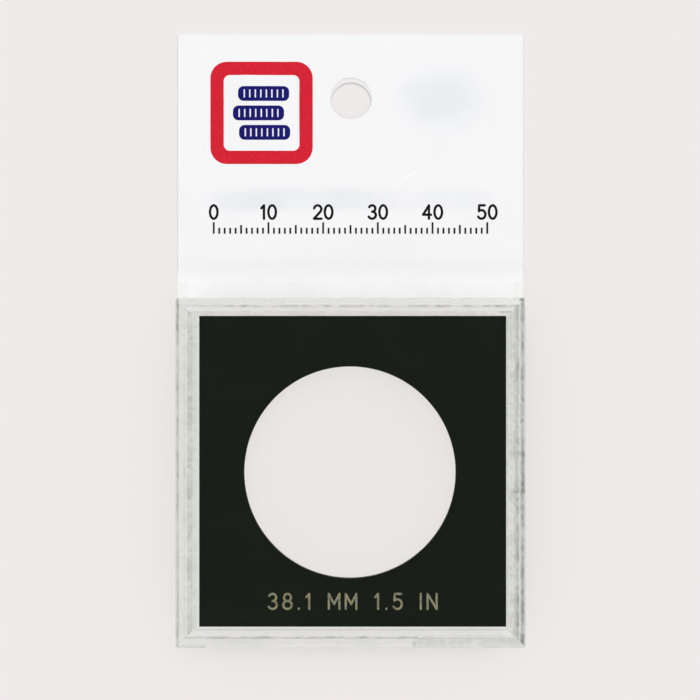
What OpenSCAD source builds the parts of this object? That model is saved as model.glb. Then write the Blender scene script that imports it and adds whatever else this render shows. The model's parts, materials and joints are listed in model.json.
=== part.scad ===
// Clear snap-together coin case, bonded to the clear tail of a two-ply film hang header.
// The part lies on its back: +Z faces the viewer and +Y runs up the header.

/* [Coin] */
// Diameter of the coin that the case is made for
coin_d = 38.1; // [17:0.1:46]
// Room all round the coin in its seat
coin_clearance = 0.2; // [0.1:0.05:0.4]

/* [Insert] */
// Thickness of the black insert
insert_t = 2.8; // [1.5:0.1:5]
// Room between the insert and the tray wall, at the left and at the right
insert_play_x = 0.75; // [0.5:0.05:1]
// Room between the insert and the tray wall, at the top and at the bottom
insert_play_y = 0.4; // [0.35:0.05:1]
// How far the loose insert lies off centre, to the right
insert_shift_x = 0.4; // [-0.4:0.05:0.4]
// How far the loose insert lies off centre, towards the header
insert_shift_y = 0.25; // [-0.25:0.05:0.25]
// How far the seat is punched off the insert's middle, to the left
seat_left = 0.5; // [0:0.1:1]
// How far the seat is punched off the insert's middle, away from the header
seat_drop = 0.2; // [0:0.1:1]

/* [Case] */
// Outer width and length of the square case
case_w = 63.5; // [60:0.5:80]
// Radius of the upright outer corners
corner_r = 0.4; // [0.3:0.1:1.4]
// Radius of the upright corners inside the case
inner_corner_r = 0.3; // [0.2:0.05:0.6]
// Radius along the outer edges of the two windows
edge_r = 0.4; // [0.2:0.05:0.8]
// Thickness of the clear window in each half
window_t = 1.5; // [1:0.1:2.5]
// Thickness of the cover's outer skirt
skirt_t = 1.6; // [1:0.05:2.2]
// Thickness of the base's upright tongue, inside the skirt
tongue_t = 1.35; // [1:0.05:2.2]
// Slope at the top of the tongue that leads the skirt on
lead_in = 0.3; // [0.1:0.05:0.45]
// Room between the skirt and the tongue
joint_gap = 0.15; // [0.1:0.01:0.3]
// Height of the base's outer rim, where the two halves part
rim_h = 2; // [1.7:0.1:3]
// Room between the insert and the cover's window
window_gap = 0.2; // [0.1:0.05:0.5]
// Room between the top of the tongue and the cover's window
tongue_gap = 0.3; // [0.2:0.05:0.8]

/* [Snap] */
// Length of the snap lug at the middle of the left side and of the two ends
lug_len = 1.8; // [1:0.1:12]
// Length of the longer snap lug at the middle of the right side, the latch
latch_len = 7.3; // [2:0.1:14]
// Radius of the lugs' round nose
lug_r = 0.6; // [0.4:0.05:0.8]
// Room between a lug and the skirt while the cover slides
lug_clearance = 0.05; // [0.03:0.01:0.08]
// Radius of the thumbnail scallop that starts the cover off
scallop_r = 5; // [3:0.5:8]
// How far the scallop bites into the rim
scallop_depth = 1.2; // [0.6:0.1:1.5]
// Height of the scallop below the parting line
scallop_h = 0.9; // [0.5:0.1:1.2]
// Distance from the right side of the case to the scallop
scallop_inset = 6; // [5:0.5:12]

/* [Header] */
// How far the sides of the film header stay inside the sides of the case
header_inset = 0.2; // [0:0.1:4]
// Height of the white, two-ply part of the header
header_h = 43.2; // [30:0.1:70]
// Height of the bare clear film between the case and the white part
strip_h = 5.1; // [3:0.1:12]
// Thickness of each ply of film
film_t = 0.12; // [0.1:0.01:0.2]
// Diameter of the hang hole
hang_hole_d = 7.6; // [5:0.1:10]
// Distance from the header's top edge to the centre of the hang hole
hang_hole_drop = 12.2; // [9:0.1:20]
// How far the clear tail runs behind the case
tail_overlap = 6; // [4:0.5:12]
// Thickness of the adhesive that bonds the tail
adhesive_t = 0.06; // [0.04:0.01:0.1]
// How far the adhesive stays inside the edges of the tail
adhesive_margin = 0.5; // [0.3:0.1:1.5]
// Width of the crease between the tail and the white part
crease_gap = 0.3; // [0.2:0.05:0.4]

/* [Hidden] */
$fn = 96;

// Cuts run this far past the faces that they open
cut = 1;
// Extra length of the rebate past the end of the tail
rebate_room = 0.2;
// Depth of the snap groove behind each lug's nose
groove_room = 0.2;

// Places along Y, with the whole part centred on the origin
total_h = case_w + strip_h + header_h;
case_y = case_w / 2 - total_h / 2;
case_top = case_y + case_w / 2;
crease_y = case_top + strip_h;
header_top = crease_y + header_h;
hang_hole_y = header_top - hang_hole_drop;

// Widths: of the header, then of the case from the outside inwards
header_w = case_w - 2 * header_inset;
tongue_w = case_w - 2 * (skirt_t + joint_gap);
tray_w = tongue_w - 2 * tongue_t;
insert_w = tray_w - 2 * insert_play_x;
insert_l = tray_w - 2 * insert_play_y;
seat_d = coin_d + 2 * coin_clearance;

// Heights above the surface that the part lies on
insert_top = window_t + insert_t;
cover_window_z = insert_top + window_gap;
case_t = cover_window_z + window_t;
tongue_top = cover_window_z - tongue_gap;
lug_z = (rim_h + tongue_top) / 2;
rebate_t = film_t + adhesive_t;

// Lengths of the snap lugs, from the right side round by the header's end
lug_lengths = [latch_len, lug_len, lug_len, lug_len];

clear_plastic = [0.86, 0.89, 0.87, 0.35];
clear_film = [0.93, 0.94, 0.94, 0.4];
white_film = [0.96, 0.96, 0.97];
insert_black = [0.1, 0.12, 0.1];

// A square with round corners, centred on the origin.
module round_square(width, radius) {
    inner = width - 2 * radius;
    square([width, inner], center = true);
    square([inner, width], center = true);
    for (x = [-1, 1], y = [-1, 1])
        translate([x * inner / 2, y * inner / 2]) circle(radius);
}

// A square prism with upright sides, standing on z = 0.
module round_prism(width, radius, height) {
    linear_extrude(height) round_square(width, radius);
}

// The outline of a block seen from the side, with its two upper corners rounded.
module soft_profile(width, height, radius) {
    translate([-width / 2, 0]) square([width, height - radius]);
    translate([-width / 2 + radius, 0]) square([width - 2 * radius, height]);
    for (side = [-1, 1])
        translate([side * (width / 2 - radius), height - radius]) circle(radius);
}

// A square block with round upright corners and a soft upper edge on all four sides.
module soft_block(height) {
    length = case_w + 2 * cut;
    intersection() {
        round_prism(case_w, corner_r, height);
        rotate([90, 0, 0]) linear_extrude(length, center = true) soft_profile(case_w, height, edge_r);
        rotate([90, 0, 90]) linear_extrude(length, center = true) soft_profile(case_w, height, edge_r);
    }
}

// The same block the other way up, with its soft edge on the lower face.
module soft_block_below(height) {
    translate([0, 0, height]) mirror([0, 0, 1]) soft_block(height);
}

// The outline of the tongue seen from the side, with its two upper corners cut off.
module tongue_profile() {
    half = tongue_w / 2;
    polygon([
        [-half, 0], [half, 0], [half, tongue_top - lead_in], [half - lead_in, tongue_top],
        [lead_in - half, tongue_top], [-half, tongue_top - lead_in]
    ]);
}

// The block that the tray is cut from, whose sides are the tongue.
module tongue_block() {
    length = case_w + 2 * cut;
    intersection() {
        round_prism(tongue_w, inner_corner_r, tongue_top);
        rotate([90, 0, 0]) linear_extrude(length, center = true) tongue_profile();
        rotate([90, 0, 90]) linear_extrude(length, center = true) tongue_profile();
    }
}

// A round bar along each side of the tongue, whose nose stands a little proud of it.
// Room makes each bar longer and thicker, for the groove that it snaps into.
module side_bars(room) {
    proud = joint_gap - lug_clearance;
    for (side = [0 : len(lug_lengths) - 1])
        rotate([0, 0, 90 * side])
            translate([tongue_w / 2 + proud - lug_r, 0, lug_z])
                rotate([90, 0, 0])
                    cylinder(h = lug_lengths[side] + 2 * room, r = lug_r + room, center = true);
}

// Back half: window, outer rim, upright tongue with a snap lug on each side, and the thumbnail scallop.
module base() {
    scallop_x = case_w / 2 - scallop_inset;
    scallop_y = -case_w / 2 - scallop_r + scallop_depth;
    color(clear_plastic) translate([0, case_y, 0]) difference() {
        union() {
            soft_block_below(rim_h);
            tongue_block();
            side_bars(0);
        }
        translate([0, 0, window_t]) round_prism(tray_w, inner_corner_r, case_t);
        translate([scallop_x, scallop_y, rim_h - scallop_h]) cylinder(h = scallop_h + cut, r = scallop_r);
        translate([-case_w / 2 - cut, case_w / 2 - tail_overlap - rebate_room, -cut])
            cube([case_w + 2 * cut, tail_overlap + rebate_room + cut, rebate_t + cut]);
    }
}

// Front half: window and skirt, with a groove inside the skirt for each snap lug.
module cover() {
    skirt_in = case_w - 2 * skirt_t;
    color(clear_plastic) translate([0, case_y, 0]) difference() {
        translate([0, 0, rim_h]) soft_block(case_t - rim_h);
        translate([0, 0, rim_h - cut])
            round_prism(skirt_in, inner_corner_r + joint_gap, cover_window_z - rim_h + cut);
        side_bars(groove_room);
    }
}

// Black insert, cut square from sheet, with the round coin seat. It lies loose in the tray.
module insert() {
    color(insert_black) translate([insert_shift_x, case_y + insert_shift_y, window_t]) difference() {
        translate([-insert_w / 2, -insert_l / 2, 0]) cube([insert_w, insert_l, insert_t]);
        translate([-seat_left, -seat_drop, -cut]) cylinder(h = insert_t + 2 * cut, d = seat_d);
    }
}

// A flat strip of film, between two places along Y.
module film_strip(from_y, to_y) {
    translate([-header_w / 2, from_y, 0]) cube([header_w, to_y - from_y, film_t]);
}

// Clear film from the crease down into the rebate behind the case.
module clear_tail() {
    color(clear_film) film_strip(case_top - tail_overlap, crease_y - crease_gap / 2);
}

// Adhesive between the tail and the back of the base.
module adhesive_strip() {
    width = header_w - 2 * adhesive_margin;
    height = tail_overlap - 2 * adhesive_margin;
    color(clear_film) translate([-width / 2, case_top - tail_overlap + adhesive_margin, film_t])
        cube([width, height, adhesive_t]);
}

// One white ply of the header, with its share of the hang hole.
module header_ply() {
    color(white_film) difference() {
        film_strip(crease_y + crease_gap / 2, header_top);
        translate([0, hang_hole_y, -cut]) cylinder(h = film_t + 2 * cut, d = hang_hole_d);
    }
}

module header_back_film() {
    header_ply();
}

module header_front_film() {
    translate([0, 0, film_t]) header_ply();
}

base();
cover();
insert();
adhesive_strip();
clear_tail();
header_back_film();
header_front_film();
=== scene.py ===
"""Looks of a clear snap-together coin case with a black insert, on a two-ply film hang header.

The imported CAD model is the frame. Lengths are in metres, and each piece keeps its place in its mesh.
"""

from __future__ import annotations

import json
import logging
import math
from dataclasses import dataclass, field, replace
from enum import Enum
from typing import Any, Callable, Mapping, Sequence, Union

import bmesh
import bpy
from mathutils import Matrix, Vector, geometry

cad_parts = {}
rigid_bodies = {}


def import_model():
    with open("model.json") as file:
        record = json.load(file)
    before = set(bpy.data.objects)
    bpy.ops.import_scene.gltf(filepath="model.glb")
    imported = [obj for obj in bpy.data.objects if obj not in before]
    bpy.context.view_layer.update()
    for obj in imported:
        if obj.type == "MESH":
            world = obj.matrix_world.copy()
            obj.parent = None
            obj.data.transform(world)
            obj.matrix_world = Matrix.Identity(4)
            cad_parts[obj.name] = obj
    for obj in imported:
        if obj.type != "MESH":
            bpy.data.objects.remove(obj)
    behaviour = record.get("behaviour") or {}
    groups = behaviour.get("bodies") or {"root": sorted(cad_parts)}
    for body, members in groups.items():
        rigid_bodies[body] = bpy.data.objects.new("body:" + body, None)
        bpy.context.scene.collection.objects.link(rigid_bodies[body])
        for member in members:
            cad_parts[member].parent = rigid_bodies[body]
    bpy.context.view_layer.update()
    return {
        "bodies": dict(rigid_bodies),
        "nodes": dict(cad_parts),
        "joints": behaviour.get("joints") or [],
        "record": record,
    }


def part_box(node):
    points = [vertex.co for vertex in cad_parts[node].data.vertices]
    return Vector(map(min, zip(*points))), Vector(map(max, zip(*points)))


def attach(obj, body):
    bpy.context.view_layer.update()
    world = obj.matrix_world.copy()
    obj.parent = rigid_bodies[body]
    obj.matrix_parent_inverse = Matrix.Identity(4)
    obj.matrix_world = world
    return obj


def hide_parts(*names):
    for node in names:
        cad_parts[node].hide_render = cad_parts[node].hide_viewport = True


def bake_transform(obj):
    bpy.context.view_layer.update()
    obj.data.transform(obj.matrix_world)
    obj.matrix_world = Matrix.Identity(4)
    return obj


LOG = logging.getLogger("coin_case")
MM = 0.001

# Points closer than this are one point, in metres
SAME_SPOT = 1e-6
# A length under this is none, in metres
NO_LENGTH = 1e-9
# Faces of a moulding that turn by less than this are one flat face
FLAT_TURN = math.radians(0.5)
# Edges of a moulding that turn by more than this are broken
SHARP_TURN = math.radians(38.0)
# Edges of film and ink that turn by more than this are shaded sharp
FILM_TURN = math.radians(40.0)
# Points round a hole in the film
HOLE_STEPS = 72
# Share of a hole's radius that its ring of straight edges leaves open all round
HOLE_OPEN = 0.999
# Share of the mesh's spacing that holds no other points round a hole
HOLE_CLEAR = 0.55
# Attribute that marks the ends of a stroke
ROUND_END = "round_end"
# Light paths that are long enough for a stack of clear walls and films
BOUNCES = 40
CLEAR_LAYERS = 32

Point = tuple[float, float]
Triple = tuple[float, float, float]
Colour = Triple
Stroke = list[Point]
Hole = tuple[Point, float]


class Side(Enum):
    """The face of the header that a print is on, as the sign of its outward Z."""

    FRONT = 1
    BACK = -1


class Ink(Enum):
    """The solid colours of the header's print, in linear light."""

    BLACK = (0.004, 0.004, 0.005)
    RED = (0.61, 0.009, 0.026)
    BLUE = (0.004, 0.003, 0.135)
    WHITE = (0.78, 0.78, 0.80)


class Rail(Enum):
    """A side of the case's rim, as its direction from the middle of the case."""

    LEFT = (-1, 0)
    RIGHT = (1, 0)
    TOP = (0, 1)
    BOTTOM = (0, -1)


class Light(Enum):
    """The studio's lamps: the direction that each comes from, its strength and its width in degrees."""

    TOP = ((-0.10, 0.16, 0.97), 1.30, 50.0)
    KEY = ((0.34, 0.56, 0.75), 0.84, 45.0)


class Wire:
    """A value inside a node tree, with the arithmetic that the finishes and the shapes use."""

    def __init__(self, tree: Tree, socket: bpy.types.NodeSocket) -> None:
        """Holds a socket and the tree that it is in."""
        self.tree = tree
        self.socket = socket

    def maths(self, operation: str, *terms: Value) -> Wire:
        """Adds one Math node.

        Args:
            operation: The Math node's operation.
            terms: Its values or links, in order.

        Returns:
            The node's result.
        """
        return self.tree.wire("ShaderNodeMath", {"operation": operation}, dict(enumerate(terms)), "Value")

    def __add__(self, other: Value) -> Wire:
        """Returns self + other."""
        return self.maths("ADD", self, other)

    def __radd__(self, other: Value) -> Wire:
        """Returns other + self."""
        return self.maths("ADD", other, self)

    def __sub__(self, other: Value) -> Wire:
        """Returns self - other."""
        return self.maths("SUBTRACT", self, other)

    def __rsub__(self, other: Value) -> Wire:
        """Returns other - self."""
        return self.maths("SUBTRACT", other, self)

    def __mul__(self, other: Value) -> Wire:
        """Returns self * other."""
        return self.maths("MULTIPLY", self, other)

    def __rmul__(self, other: Value) -> Wire:
        """Returns other * self."""
        return self.maths("MULTIPLY", other, self)

    def __mod__(self, other: Value) -> Wire:
        """Returns the remainder of self / other."""
        return self.maths("MODULO", self, other)

    def __lt__(self, other: Value) -> Wire:
        """Returns 1 where self is under other, and 0 elsewhere."""
        return self.maths("LESS_THAN", self, other)

    def __abs__(self) -> Wire:
        """Returns the size of self without its sign."""
        return self.maths("ABSOLUTE", self)

    def larger(self, other: Value) -> Wire:
        """Returns the larger of self and other."""
        return self.maths("MAXIMUM", self, other)

    def fade(self, start: float, end: float) -> Wire:
        """Returns a smooth step from 0 at start to 1 at end."""
        limits = {"Value": self, "From Min": start, "From Max": end}
        return self.tree.wire("ShaderNodeMapRange", {"interpolation_type": "SMOOTHSTEP"}, limits, "Result")

    def near(self, reach: float, soft: float) -> Wire:
        """Returns 1 up to reach, falling to 0 over soft."""
        return 1.0 - self.fade(reach, reach + soft)

    def band(self, start: float, end: float, soft: float) -> Wire:
        """Returns 1 between start and end, falling to 0 over soft on each side."""
        return self.fade(start - soft, start) * self.near(end, soft)


Value = Union[float, Wire]


class Tree:
    """A node tree under construction, for a finish or for a shape."""

    def __init__(self, tree: bpy.types.NodeTree) -> None:
        """Empties the tree that is to be filled."""
        self.tree = tree
        tree.nodes.clear()

    def node(
        self,
        kind: str,
        settings: Mapping[str, Any] | None = None,
        sockets: Mapping[str | int, Any] | None = None,
    ) -> bpy.types.Node:
        """Adds one node.

        Args:
            kind: The node's type.
            settings: Properties of the node, which are set first.
            sockets: Values or links of its inputs, by name or by index.

        Returns:
            The new node.
        """
        made = self.tree.nodes.new(kind)
        for name, value in (settings or {}).items():
            setattr(made, name, value)
        for name, value in (sockets or {}).items():
            if isinstance(value, Wire):
                self.tree.links.new(value.socket, made.inputs[name])
            else:
                made.inputs[name].default_value = value
        return made

    def wire(
        self,
        kind: str,
        settings: Mapping[str, Any] | None = None,
        sockets: Mapping[str | int, Any] | None = None,
        output: str | int = 0,
    ) -> Wire:
        """Adds one node and returns one of its outputs, with the arguments of node()."""
        return Wire(self, self.node(kind, settings, sockets).outputs[output])


class Shade(Tree):
    """A material's tree, with the few patterns that the finishes share."""

    def __init__(self, name: str) -> None:
        """Starts a material and finds each place on its piece.

        Args:
            name: The material's name.
        """
        self.material = bpy.data.materials.new(name)
        self.material.use_nodes = True
        super().__init__(self.material.node_tree)
        self.spot = self.wire("ShaderNodeTexCoord", output="Object")
        parts = self.node("ShaderNodeSeparateXYZ", sockets={0: self.spot})
        self.x, self.y, self.z = (Wire(self, parts.outputs[axis]) for axis in "XYZ")

    def noise(
        self,
        scale: float,
        detail: float = 2.0,
        stretch: Triple = (1.0, 1.0, 1.0),
        turn: float = 0.0,
    ) -> Wire:
        """Adds a noise pattern on the piece.

        Args:
            scale: Patches per metre.
            detail: Number of finer layers.
            stretch: How much closer the patches lie along each axis.
            turn: Turn of the pattern about Z in radians, which also tells patterns apart.

        Returns:
            A value from 0 to 1.
        """
        place = {
            "Vector": self.spot,
            "Scale": stretch,
            "Rotation": (0.0, 0.0, turn),
            "Location": (turn, turn, 0.0),
        }
        vector = self.wire("ShaderNodeMapping", None, place, "Vector")
        pattern = {"Vector": vector, "Scale": scale, "Detail": detail}
        return self.wire("ShaderNodeTexNoise", None, pattern, 0)

    def distance(self, x: float, y: float, stretch: Point = (1.0, 1.0)) -> Wire:
        """Measures how far each place lies from a point, seen along Z.

        Args:
            x: The point's x.
            y: The point's y.
            stretch: How much more the distance counts along each axis.

        Returns:
            The distance in metres.
        """
        dx, dy = stretch[0] * (self.x - x), stretch[1] * (self.y - y)
        square = dx * dx + dy * dy
        return square.maths("SQRT", square)

    def mix(self, mask: Value, first: Colour | Wire, second: Colour | Wire) -> Wire:
        """Blends two colours.

        Args:
            mask: 0 for the first colour and 1 for the second.
            first: A colour, in linear light.
            second: Another.

        Returns:
            The blended colour.
        """
        ends = [c if isinstance(c, Wire) else (*c, 1.0) for c in (first, second)]
        # The Mix node's colours are its inputs 6 and 7, and the blended colour is its output 2
        return self.wire("ShaderNodeMix", {"data_type": "RGBA"}, {0: mask, 6: ends[0], 7: ends[1]}, 2)

    def bump(self, height: Wire, strength: float, distance: float) -> Wire:
        """Turns a height pattern into a normal.

        Args:
            height: The pattern, from 0 to 1.
            strength: Share of the effect.
            distance: Height of the pattern in metres.

        Returns:
            The bumped normal.
        """
        relief = {"Height": height, "Strength": strength, "Distance": distance}
        return self.wire("ShaderNodeBump", None, relief, 0)

    def surface(self, sockets: Mapping[str, Any]) -> Wire:
        """Returns a Principled surface with those inputs."""
        return self.wire("ShaderNodeBsdfPrincipled", None, sockets, "BSDF")

    def passing(self, surface: Wire, tint: Colour) -> Wire:
        """Lets the studio's light through a see-through surface to what lies under it.

        Args:
            surface: The surface as it is seen.
            tint: Colour of the light that passes.

        Returns:
            The mixed surface.
        """
        path = self.node("ShaderNodeLightPath")
        shadow, diffuse = (Wire(self, path.outputs[f"Is {kind} Ray"]) for kind in ("Shadow", "Diffuse"))
        through = shadow.larger(diffuse)
        air = self.wire("ShaderNodeBsdfTransparent", None, {"Color": (*tint, 1.0)}, "BSDF")
        return self.wire("ShaderNodeMixShader", None, {0: through, 1: surface, 2: air}, "Shader")

    def done(self, surface: Wire) -> bpy.types.Material:
        """Links the surface to the output and returns the material."""
        self.node("ShaderNodeOutputMaterial", None, {"Surface": surface})
        return self.material


@dataclass(frozen=True)
class Kink:
    """A short round fold in the film, placed from the middle of the crease line.

    Attributes:
        x: Middle of the arc that it follows, along X, in millimetres.
        y: The same, along Y.
        radius: Radius of the arc, in millimetres.
        start: Where it starts on the arc, in degrees.
        end: Where it ends on the arc.
        width: Half its width, in millimetres.
    """

    x: float
    y: float
    radius: float
    start: float
    end: float
    width: float

    def height(self, u: float, v: float) -> float:
        """Finds how far the kink raises the film at a place.

        Args:
            u: The place along X, from the middle of the crease line, in millimetres.
            v: The same, along Y.

        Returns:
            A share of the kink's full height.
        """
        angle = math.degrees(math.atan2(v - self.y, u - self.x)) % 360.0
        off = math.hypot(u - self.x, v - self.y) - self.radius
        middle, half = (self.start + self.end) / 2.0, (self.end - self.start) / 2.0
        along = max(0.0, 1.0 - (abs(angle - middle) / half) ** 2)
        return along * math.exp(-((off / self.width) ** 2))


# The two kinks of the film: a long one, and a small one nearer the crease
DENT = Kink(14.4, 10.9, 7.4, 96.0, 158.0, 0.7)
NICK = Kink(9.8, 4.5, 1.2, 40.0, 140.0, 0.4)


@dataclass(frozen=True)
class RimLine:
    """A painted shade line along one side of the rim, standing in for the shade that the joint and the
    edges cast by bending the light, and for the insert's shadow on the rim.

    Attributes:
        rail: The side of the rim.
        start: Where the line starts, in from the outside of the case, in millimetres.
        end: Where it ends, in millimetres.
        strength: How dark it is.
        deep: True on the faces inside the rim, and False on the outer faces.
        span: The stretch of the side that it runs along, from its middle, in millimetres.
        broken: True for a line that is broken into dashes.
        soft: How softly its two sides fade, in millimetres.
        soft_ends: How softly its two ends fade, in millimetres.
    """

    rail: Rail
    start: float
    end: float
    strength: float
    deep: bool = True
    span: Point = (-32.0, 32.0)
    broken: bool = False
    soft: float = 0.13
    soft_ends: float = 0.4

    def mask(self, u: Wire, v: Wire, half: float, inner: Wire, dashes: Wire) -> Wire:
        """Finds the line on the case.

        Args:
            u: Place across the case, from its middle.
            v: Place along the case, from its middle.
            half: Half the width of the case.
            inner: 1 on the faces inside the rim and 0 on the outer faces.
            dashes: What a broken line is multiplied by.

        Returns:
            A value from 0 to the line's strength.
        """
        sx, sy = self.rail.value
        across, along = (u, v) if sx else (v, u)
        off = half - (sx + sy) * across
        line = off.band(self.start * MM, self.end * MM, self.soft * MM) * (abs(along) < abs(across))
        reach = along.band(self.span[0] * MM, self.span[1] * MM, self.soft_ends * MM)
        line = self.strength * line * reach * (inner if self.deep else 1.0 - inner)
        return line * dashes if self.broken else line


@dataclass(frozen=True)
class ClearPlastic:
    """Clear moulded polystyrene with a faint green cast in the rim, fine scuffs along the joint, and
    painted shade lines along the rim.

    Attributes:
        centre_y: Middle of the case, along Y.
        half: Half the width of the case.
        joint_in: From the middle of the case to the inner edge of the joint.
        joint_out: The same, to the joint's outer edge.
        window: Tint of the windows.
        rim: Tint of the rim.
        thick: Tint of the walls that are seen edge on.
        scuffed: Colour of the scuffs.
        shadowed: Colour of the painted shade lines, and of the random darker patches on the outer faces.
        passed: Tint of the light that falls through.
        ior: How strongly the plastic bends light.
        joint_soft: How softly the joint's scuffs fade.
        cast_width: Width over which the rim's tint comes in.
        wall_in: How far the thick walls reach in from the joint's inner edge.
        wall_out: How far they reach out from it.
        wall_soft: How softly they fade.
        outer_soft: How softly the outer faces' patches come in.
        inner_low: Lowest place of the faces inside the rim.
        inner_high: Their highest place.
        inner_soft: How softly they fade.
        ripple: Height of the ripples that moulding leaves.
        lines: The painted shade lines along the rim.
    """

    centre_y: float
    half: float
    joint_in: float
    joint_out: float
    window: Colour = (0.997, 1.0, 0.997)
    rim: Colour = (0.970, 0.989, 0.968)
    thick: Colour = (0.930, 0.985, 0.944)
    scuffed: Colour = (0.80, 0.825, 0.80)
    # Painted shade: colour of the rim's painted shade lines, also used for random darker patches on the
    # outer faces
    shadowed: Colour = (0.235, 0.258, 0.235)
    passed: Colour = (0.99, 0.995, 0.99)
    ior: float = 1.46
    joint_soft: float = 0.35 * MM
    cast_width: float = 2.5 * MM
    wall_in: float = 1.0 * MM
    wall_out: float = 0.6 * MM
    wall_soft: float = 0.25 * MM
    outer_soft: float = 0.3 * MM
    inner_low: float = 1.0 * MM
    inner_high: float = 4.35 * MM
    inner_soft: float = 0.05 * MM
    ripple: float = 0.02 * MM
    # Painted shade: each line darkens the plastic's colour in a band along the rim, standing in for the
    # shade that the joint and edges cast by bending light, and for the insert's shadow on the rim
    lines: tuple[RimLine, ...] = (
        RimLine(Rail.LEFT, 0.0, 0.42, 0.62, deep=False),
        RimLine(Rail.LEFT, 0.0, 0.50, 0.22, deep=False, span=(26.0, 31.6)),
        RimLine(Rail.LEFT, 0.55, 1.45, 0.12, deep=False),
        RimLine(Rail.LEFT, 2.08, 2.90, 0.60),
        RimLine(Rail.LEFT, 3.05, 4.50, 0.08),
        RimLine(Rail.RIGHT, 0.28, 0.74, 0.80, deep=False),
        RimLine(Rail.RIGHT, 1.05, 1.90, 0.60),
        RimLine(Rail.RIGHT, 1.90, 2.60, 0.32),
        RimLine(Rail.RIGHT, 2.60, 3.50, 0.12),
        RimLine(Rail.RIGHT, 0.10, 0.90, 0.30, deep=False, span=(-31.2, -29.6)),
        RimLine(Rail.RIGHT, 0.0, 0.24, 0.34, deep=False, span=(-3.5, 3.5)),
        RimLine(Rail.RIGHT, 0.30, 2.20, 0.30, span=(-3.6, -3.2)),
        RimLine(Rail.RIGHT, 0.30, 2.20, 0.30, span=(3.2, 3.6)),
        RimLine(Rail.TOP, 1.28, 1.68, 0.42, broken=True),
        RimLine(Rail.TOP, 2.45, 3.50, 0.30),
        RimLine(Rail.TOP, 2.42, 2.62, 0.55, span=(27.2, 29.2)),
        RimLine(Rail.TOP, 0.05, 0.45, 1.40, deep=False, span=(30.9, 31.4)),
        RimLine(Rail.BOTTOM, 1.56, 1.95, 0.62, span=(-32.0, 12.0), broken=True),
        RimLine(Rail.BOTTOM, 0.30, 1.45, 0.07),
        RimLine(Rail.BOTTOM, 0.30, 2.20, 0.17, span=(12.0, 30.8)),
        RimLine(Rail.BOTTOM, 0.0, 1.10, 0.25, deep=False, span=(11.5, 11.7)),
        RimLine(Rail.BOTTOM, 0.0, 0.18, 0.65, deep=False, span=(-31.4, -26.6)),
    )

    def cast(self, shade: Shade, u: Wire, v: Wire) -> Wire:
        """Tints the plastic where light runs through the rim, most on the upright sides.

        Args:
            shade: The material under construction.
            u: Place across the case, from its middle.
            v: Place along the case, from its middle.

        Returns:
            The tinted colour.
        """
        across = abs(u).larger(abs(v))
        upright = abs(v) < abs(u)
        below = v < (-1.0 * abs(u))
        share = 0.35 + 0.65 * upright + 0.45 * below
        tinted = across.fade(self.joint_in - self.cast_width, self.joint_in) * share
        rim = shade.mix(tinted, self.window, self.rim)
        wall = across.band(self.joint_in - self.wall_in, self.joint_in + self.wall_out, self.wall_soft)
        return shade.mix(0.5 * (wall * upright), rim, self.thick)

    def make(self) -> bpy.types.Material:
        """Builds the material, which lets light through to what lies under it.

        Returns:
            The material.
        """
        shade = Shade("clear_plastic")
        u, v = shade.x, shade.y - self.centre_y
        across = abs(u).larger(abs(v))
        upright = abs(v) < abs(u)
        speckle = shade.noise(900.0, detail=3.0).fade(0.42, 0.70)
        streaks = shade.noise(260.0, detail=2.0, turn=0.4).fade(0.40, 0.62)
        patches = shade.noise(75.0, detail=1.0, turn=2.6).fade(0.46, 0.62)
        dashes = 0.40 + 0.90 * shade.noise(430.0, detail=1.0, turn=1.5).fade(0.44, 0.56)
        dull = shade.noise(55.0, detail=4.0, turn=1.1).fade(0.5, 0.75)
        flow = shade.noise(120.0, detail=1.0, turn=2.0)
        joint = across.band(self.joint_in, self.joint_out, self.joint_soft)
        scuffs = joint * (0.18 * streaks + 0.34 * speckle) * (0.3 + 0.7 * upright)
        body = shade.mix(scuffs, self.cast(shade, u, v), self.scuffed)
        outer = across.fade(self.joint_out - self.outer_soft, self.joint_out + self.outer_soft)
        body = shade.mix(0.045 * outer * (1.0 - upright) * patches, body, self.shadowed)
        inner = shade.z.band(self.inner_low, self.inner_high, self.inner_soft)
        # Painted shade: the rim lines darken the plastic's colour where refraction and the insert's shadow
        # would darken it
        dark = sum((line.mask(u, v, self.half, inner, dashes) for line in self.lines), 0.0)
        body = shade.mix(dark * (0.48 + 0.32 * streaks + 0.32 * speckle), body, self.shadowed)
        clear = shade.surface({
            "Base Color": body,
            "Roughness": 0.012 + 0.05 * joint * speckle + 0.02 * dull,
            "IOR": self.ior,
            "Transmission Weight": 1.0,
            "Normal": shade.bump(flow, strength=0.25, distance=self.ripple),
        })
        return shade.done(shade.passing(clear, self.passed))


@dataclass(frozen=True)
class BlackInsert:
    """Satin black sheet with a faint green cast, a fine grain and a few dull rubs."""

    dark: Colour = (0.0038, 0.0074, 0.0034)
    rubbed: Colour = (0.0058, 0.0098, 0.0054)

    def make(self) -> bpy.types.Material:
        """Builds the material.

        Returns:
            The material.
        """
        shade = Shade("black_insert")
        grain = shade.noise(5200.0, detail=2.0)
        rubs = shade.noise(90.0, detail=4.0, stretch=(1.0, 2.5, 1.0), turn=0.6).fade(0.48, 0.72)
        return shade.done(shade.surface({
            "Base Color": shade.mix(0.35 * grain + 0.55 * rubs, self.dark, self.rubbed),
            "Roughness": 0.46 + 0.10 * grain + 0.08 * rubs,
            "Specular IOR Level": 0.12,
            "Normal": shade.bump(grain, strength=0.3, distance=0.01 * MM),
        }))


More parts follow.
